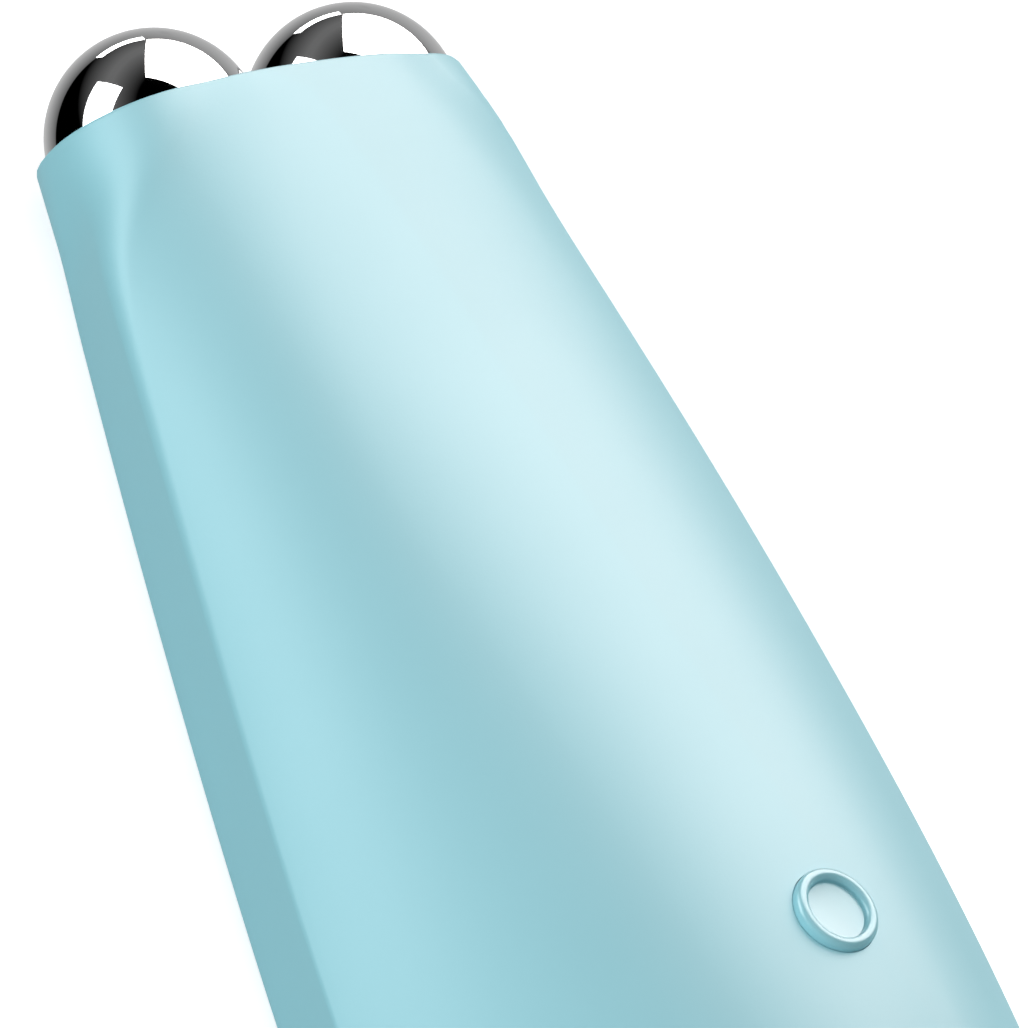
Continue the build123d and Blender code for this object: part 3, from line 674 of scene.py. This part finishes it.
# ---------------------------------------------------------------- materials
def use_group(tree, group, **values):
    node = tree.nodes.new("ShaderNodeGroup")
    node.node_tree = groups[group]
    for name, value in values.items():
        node.inputs[name].default_value = value
    return node


def mixed_colour(tree, mask, dark, light):
    mix = add_node(tree, "ShaderNodeMix", data_type="RGBA")
    mix.inputs["A"].default_value = (*dark, 1)
    mix.inputs["B"].default_value = (*light, 1)
    tree.links.new(mask, mix.inputs["Factor"])
    return mix.outputs["Result"]


def mixed_value(tree, mask, low, high):
    return mapped_value(tree, mask, 0.0, 1.0, low, high)


def shade(colour, factor):
    return tuple(min(channel * factor, 1.0) for channel in colour)


def surface(name, colour, roughness, drift=(40, 0.05), rough_drift=0.05, grain=None,
            wear=None, lines=None, **shader):
    """A material: drifting colour and roughness, with grain, drawn lines or edge wear.

    drift is (scale, strength), grain (scale, height in mm), lines (height in mm) and wear
    (amount, colour). Other values go to the shader's own sockets.
    """
    material = bpy.data.materials.new(name)
    material.use_nodes = True
    tree = material.node_tree
    principled = tree.nodes["Principled BSDF"]
    for socket, value in shader.items():
        principled.inputs[socket.replace("_", " ")].default_value = value
    slow = use_group(tree, "drift", Scale=drift[0], Contrast=1.6).outputs["Mask"]
    base = mixed_colour(tree, slow, shade(colour, 1 - drift[1]), shade(colour, 1 + drift[1]))
    rough = mixed_value(tree, slow, roughness - rough_drift, roughness + rough_drift)
    if wear:
        worn = use_group(tree, "wear", Amount=wear[0]).outputs["Mask"]
        mix = add_node(tree, "ShaderNodeMix", data_type="RGBA")
        mix.inputs["B"].default_value = (*wear[1], 1)
        tree.links.new(worn, mix.inputs["Factor"])
        tree.links.new(base, mix.inputs["A"])
        base = mix.outputs["Result"]
    tree.links.new(base, principled.inputs["Base Color"])
    tree.links.new(rough, principled.inputs["Roughness"])
    height = None
    if grain:
        grained = use_group(tree, "grain", Scale=grain[0], Softness=0.4)
        height, depth = grained.outputs["Height"], grain[1]
    if lines:
        height, depth = use_group(tree, "lines").outputs["Height"], lines
    if height:
        bump = add_node(tree, "ShaderNodeBump", Strength=1.0, Distance=depth * MM)
        tree.links.new(height, bump.inputs["Height"])
        tree.links.new(bump.outputs[0], principled.inputs["Normal"])
    return material


def materials():
    """One material for each of the record's material slots."""
    skin_blue = (0.262, 0.580, 0.655)
    steel, brass = (0.62, 0.62, 0.64), (0.72, 0.52, 0.22)
    return {
        "soft_skin": surface("soft_skin", skin_blue, 0.5, (35, 0.012), 0.03,
                             grain=(5200, 0.006), Specular_IOR_Level=1.0),
        "button_plastic": surface("button_plastic", skin_blue, 0.30, (90, 0.012), 0.04,
                                  grain=(6500, 0.003), Specular_IOR_Level=1.0),
        "cover_plastic": surface("cover_plastic", shade(skin_blue, 0.94), 0.5, (50, 0.02), 0.05,
                                 grain=(2600, 0.02)),
        "cap_plastic": surface("cap_plastic", shade(skin_blue, 1.0), 0.34, (80, 0.015), 0.05,
                               grain=(4200, 0.004)),
        "shell_plastic": surface("shell_plastic", (0.62, 0.68, 0.70), 0.42, (60, 0.02),
                                 grain=(2400, 0.01)),
        "chassis_plastic": surface("chassis_plastic", (0.46, 0.50, 0.53), 0.45, (60, 0.03),
                                   grain=(2200, 0.012)),
        "ball_chrome": surface("ball_chrome", (0.78, 0.785, 0.79), 0.035, (120, 0.01), 0.012,
                               wear=(0.3, (0.6, 0.6, 0.6)), Metallic=1.0),
        "seal_rubber": surface("seal_rubber", (0.012, 0.013, 0.014), 0.62, (300, 0.2), 0.08,
                               grain=(3000, 0.01)),
        "contact_brass": surface("contact_brass", brass, 0.24, (200, 0.06), 0.06, lines=0.003,
                                 Metallic=1.0),
        "fixing_steel": surface("fixing_steel", steel, 0.28, (250, 0.05), 0.07, lines=0.003,
                                wear=(0.8, (0.8, 0.8, 0.82)), Metallic=1.0),
        "switch_plastic": surface("switch_plastic", (0.014, 0.014, 0.015), 0.4, (300, 0.1),
                                  grain=(4000, 0.006)),
        "plunger_plastic": surface("plunger_plastic", (0.03, 0.03, 0.032), 0.38, (300, 0.1),
                                   grain=(4000, 0.005)),
        "board_laminate": surface("board_laminate", (0.008, 0.07, 0.03), 0.3, (160, 0.14), 0.06,
                                  grain=(1500, 0.008), Coat_Weight=0.4),
        "chip_plastic": surface("chip_plastic", (0.01, 0.01, 0.011), 0.46, (400, 0.1),
                                grain=(5000, 0.005)),
        "coil_ferrite": surface("coil_ferrite", (0.045, 0.045, 0.048), 0.55, (500, 0.15), 0.1,
                                grain=(3500, 0.012), wear=(0.6, (0.12, 0.12, 0.12))),
        "capacitor_can": surface("capacitor_can", (0.66, 0.67, 0.69), 0.25, (200, 0.04),
                                 lines=0.002, Metallic=1.0),
        "plug_plastic": surface("plug_plastic", (0.72, 0.70, 0.62), 0.4, (300, 0.03),
                                grain=(3000, 0.006)),
        "battery_foil": surface("battery_foil", (0.60, 0.61, 0.63), 0.33, (120, 0.05), 0.1,
                                grain=(900, 0.02), Metallic=0.9),
        "pad_foam": surface("pad_foam", (0.045, 0.048, 0.05), 0.85, (500, 0.2),
                            grain=(1600, 0.08)),
        "socket_plastic": surface("socket_plastic", (0.018, 0.02, 0.022), 0.3, (300, 0.1),
                                  grain=(3500, 0.004), wear=(0.5, (0.08, 0.08, 0.08))),
        "lead_white": surface("lead_white", (0.68, 0.68, 0.65), 0.42, (300, 0.04),
                              grain=(1800, 0.01)),
        "lead_red": surface("lead_red", (0.42, 0.012, 0.01), 0.42, (300, 0.08),
                            grain=(1800, 0.01)),
        "lead_black": surface("lead_black", (0.012, 0.012, 0.012), 0.45, (300, 0.1),
                              grain=(1800, 0.01)),
    }


def assign(piece, material):
    piece.data.materials.clear()
    piece.data.materials.append(material)


def dress_nodes(finishes, pieces):
    """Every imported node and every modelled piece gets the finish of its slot."""
    slots = {part["node"]: part["material_slot"] for part in frame["record"]["subparts"]}
    for node, thing in frame["nodes"].items():
        assign(thing, finishes[slots[node]])
    for piece, slot in pieces:
        assign(piece, finishes[slot])


# ---------------------------------------------------------------- camera
camera_azimuth, camera_elevation, camera_roll = -65.657, 45.735, 49.0
camera_distance = 1.3136                 # from the point between the balls
aim_pixel = (253.93, 124.69)             # where that point falls in the frame
pixels_per_metre = 13766.9               # there
frame_pixels = 1028
sensor_mm = 36.0


def make_camera():
    azimuth, elevation = radians(camera_azimuth), radians(camera_elevation)
    roll = radians(camera_roll)
    back = Vector((sin(azimuth) * cos(elevation), -cos(azimuth) * cos(elevation),
                   sin(elevation)))
    level = Vector((cos(azimuth), sin(azimuth), 0))
    right = level * cos(roll) + back.cross(level) * sin(roll)
    up = back.cross(right)
    aim = Vector((0, ball_y, ball_height)) * MM
    across = (aim_pixel[0] - frame_pixels / 2) / pixels_per_metre
    rise = (frame_pixels / 2 - aim_pixel[1]) / pixels_per_metre
    place = aim + back * camera_distance - right * across - up * rise
    data = bpy.data.cameras.new("studio_camera")
    data.sensor_width = sensor_mm
    data.lens = pixels_per_metre * camera_distance / frame_pixels * sensor_mm
    data.clip_start, data.clip_end = 0.01, 50
    camera = bpy.data.objects.new("studio_camera", data)
    axes = Matrix((right, up, back)).transposed()
    camera.matrix_world = Matrix.Translation(place) @ axes.to_4x4()
    bpy.context.scene.collection.objects.link(camera)
    bpy.context.scene.camera = camera


# ---------------------------------------------------------------- studio
head_place = Vector((0, ball_y, ball_height)) * MM


def direction(azimuth, elevation):
    """Unit vector; azimuth turns from +Y toward +X, in degrees."""
    azimuth, elevation = radians(azimuth), radians(elevation)
    return Vector((sin(azimuth) * cos(elevation), cos(azimuth) * cos(elevation),
                   sin(elevation)))


def softbox(name, centre, facing, along, size, power, colour=(1, 1, 1), lights="both"):
    """A rectangular area lamp. centre, in metres, is counted from the head; the lamp's back
    faces along facing, its width runs along a direction, and lights names what it lights:
    "diffuse", "glossy" or "both".
    """
    data = bpy.data.lights.new(name, "AREA")
    data.shape, data.energy, data.color = "RECTANGLE", power, colour
    data.size, data.size_y = size
    lamp = bpy.data.objects.new(name, data)
    facing = facing.normalized()
    across = (along - facing * along.dot(facing)).normalized()
    axes = Matrix((across, facing.cross(across), facing)).transposed().to_4x4()
    lamp.matrix_world = Matrix.Translation(head_place + centre) @ axes
    lamp.visible_camera = False
    lamp.visible_diffuse = lights != "glossy"
    lamp.visible_glossy = lights != "diffuse"
    bpy.context.scene.collection.objects.link(lamp)


def seen_directly(tree):
    """1 for camera, glossy and transmission rays, 0 for the rays that light the device."""
    path = add_node(tree, "ShaderNodeLightPath")
    seen = math_node(tree, "MAXIMUM", path.outputs["Is Camera Ray"], path.outputs["Is Glossy Ray"])
    return math_node(tree, "MAXIMUM", seen, path.outputs["Is Transmission Ray"])


def make_world():
    """White to the camera and a soft pale fill; reflections meet the painted surround before it.
    """
    world = bpy.data.worlds.new("studio_world")
    bpy.context.scene.world = world
    world.use_nodes = True
    tree = world.node_tree
    tree.nodes.clear()
    fill = add_node(tree, "ShaderNodeBackground", Color=(1, 1, 1, 1), Strength=0.32)
    white = add_node(tree, "ShaderNodeBackground", Color=(1, 1, 1, 1), Strength=1.0)
    mix = add_node(tree, "ShaderNodeMixShader")
    tree.links.new(seen_directly(tree), mix.inputs[0])
    tree.links.new(fill.outputs[0], mix.inputs[1])
    tree.links.new(white.outputs[0], mix.inputs[2])
    output = add_node(tree, "ShaderNodeOutputWorld")
    tree.links.new(mix.outputs[0], output.inputs["Surface"])


def make_floor():
    """A pale round floor that keeps the soft shadow and reads as white to the camera."""
    floor_radius, floor_height = 4000, -0.05
    profile = [(0, floor_height), (floor_radius, floor_height)]
    disc = mesh_object("studio_floor", revolve(profile, 96))
    material = bpy.data.materials.new("floor_paper")
    material.use_nodes = True
    tree = material.node_tree
    principled = tree.nodes["Principled BSDF"]
    grain = use_group(tree, "grain", Scale=900, Softness=0.6)
    tone = mixed_colour(tree, grain.outputs["Mask"], (0.60, 0.61, 0.62), (0.63, 0.64, 0.65))
    tree.links.new(tone, principled.inputs["Base Color"])
    principled.inputs["Roughness"].default_value = 0.9
    principled.inputs["Specular IOR Level"].default_value = 0.0
    glow = mixed_colour(tree, seen_directly(tree), (0, 0, 0), (0.75, 0.75, 0.75))
    tree.links.new(glow, principled.inputs["Emission Color"])
    principled.inputs["Emission Strength"].default_value = 1.0
    assign(disc, material)
    disc.visible_glossy = False          # reflections show the painted surround in its place


surround_radius = 2600
# painted reflection: a glow on the surround round this direction that stands in for the lit floor
# seen in the balls
painted_glow_middle = direction(65.6, -45.7)
painted_glow_strength = (0.14, 0.6)             # painted glow, at its edge and in its middle
painted_glow_edge = 0.559                   # how far a direction runs along the middle's, there
painted_glow_edge_blur = (0.545, 0.565)
# painted reflection: a faint sheen on the surround round the horizon
painted_horizon_sheen = 0.17
sheen_rise = (-0.36, 0.12)           # heights, for a radius of 1, between which it comes up
sheen_fall = (0.22, 0.66)


def share_along(tree, vector, axis):
    """How far the vector runs along the axis."""
    product = add_node(tree, "ShaderNodeVectorMath", operation="DOT_PRODUCT")
    tree.links.new(vector, product.inputs[0])
    product.inputs[1].default_value = axis
    return product.outputs["Value"]


def make_surround():
    """A dark ball round the studio that only reflections show, in place of the floor and the
    world: a painted reflection, with a painted glow low down behind the device where the lit floor
    would be, and a faint painted sheen round the horizon."""
    card = bpy.data.materials.new("painted_reflection_card")
    card.use_nodes = True
    tree = card.node_tree
    principled = tree.nodes["Principled BSDF"]
    principled.inputs["Base Color"].default_value = (0.0, 0.0, 0.0, 1)
    principled.inputs["Roughness"].default_value = 1.0
    principled.inputs["Specular IOR Level"].default_value = 0.0
    outward = add_node(tree, "ShaderNodeVectorMath", operation="NORMALIZE")
    tree.links.new(object_place(tree), outward.inputs[0])
    # painted glow, strongest toward its middle and cut off at its edge
    nearness = share_along(tree, outward.outputs[0], painted_glow_middle)
    painted_floor_glow = mapped_value(tree, nearness, painted_glow_edge, 1.0, *painted_glow_strength)
    inside_edge = mapped_value(tree, nearness, *painted_glow_edge_blur, 0.0, 1.0)
    painted_floor_glow = math_node(tree, "MULTIPLY", painted_floor_glow, inside_edge)
    # painted sheen round the horizon, made unevenly strong by slow drift
    height = share_along(tree, outward.outputs[0], (0, 0, 1))
    rising = mapped_value(tree, height, *sheen_rise, 0.0, painted_horizon_sheen)
    falling = mapped_value(tree, height, *sheen_fall, 1.0, 0.0)
    sheen = math_node(tree, "MULTIPLY", rising, falling)
    drift = use_group(tree, "drift", Scale=0.3, Contrast=1.0).outputs["Mask"]
    sheen = math_node(tree, "MULTIPLY", sheen, mixed_value(tree, drift, 0.85, 1.1))
    tree.links.new(math_node(tree, "ADD", painted_floor_glow, sheen), principled.inputs["Emission Color"])
    principled.inputs["Emission Strength"].default_value = 1.0
    profile = arc_profile((0, 0), surround_radius, 90, -90, 48)
    profile[0], profile[-1] = (0, surround_radius), (0, -surround_radius)
    surround = mesh_object("surround", revolve(profile, 48))
    assign(surround, card)
    for ray in ("camera", "diffuse", "transmission", "volume_scatter", "shadow"):
        setattr(surround, "visible_" + ray, False)


def make_studio():
    make_world()
    make_floor()
    make_surround()
    softbox("window_softbox", Vector((0.402, 0.471, 0.537)), Vector((0.456, 0.694, 0.545)),
            Vector((0.60, -0.70, 0.39)), (1.13, 1.04), 22.5, (1.0, 0.95, 0.93), "glossy")
    for name, place, start, end, size, power in (
            ("patch_softbox", (-55.5, 2.0), (-65, -1.5), (-32, 12), (0.90, 0.58), 8.0),
            ("strip_softbox", (13.5, -13.0), (3, -18), (25, -8), (0.42, 0.13), 0.9)):
        place = direction(*place)
        softbox(name, place, place, direction(*end) - direction(*start), size, power,
                lights="glossy")
    for name, toward, height, power in (("low_bank", (-0.97, 0.0, 0.085), 0.34, 24.0),
                                        ("far_bank", (0.95, 0.1, 0.12), 0.45, 24.0),
                                        ("top_bank", (-0.25, 0.0, 1.0), 1.5, 12.0)):
        toward = Vector(toward)
        softbox(name, toward * 2, toward, Vector((0, 1, 0)), (1.5, height), power,
                lights="diffuse")


# ---------------------------------------------------------------- the device
skin = make_soft_skin()
button = make_ring_button()
balls = [make_ball(side) for side in ball_places]
screws = make_case_screws()
finishes = materials()
dress_nodes(finishes, [(skin, "soft_skin"), (button, "button_plastic"),
                       (screws, "fixing_steel")] + [(ball, "ball_chrome") for ball in balls])
make_camera()
make_studio()

scene = bpy.context.scene
scene.view_settings.view_transform = "Standard"
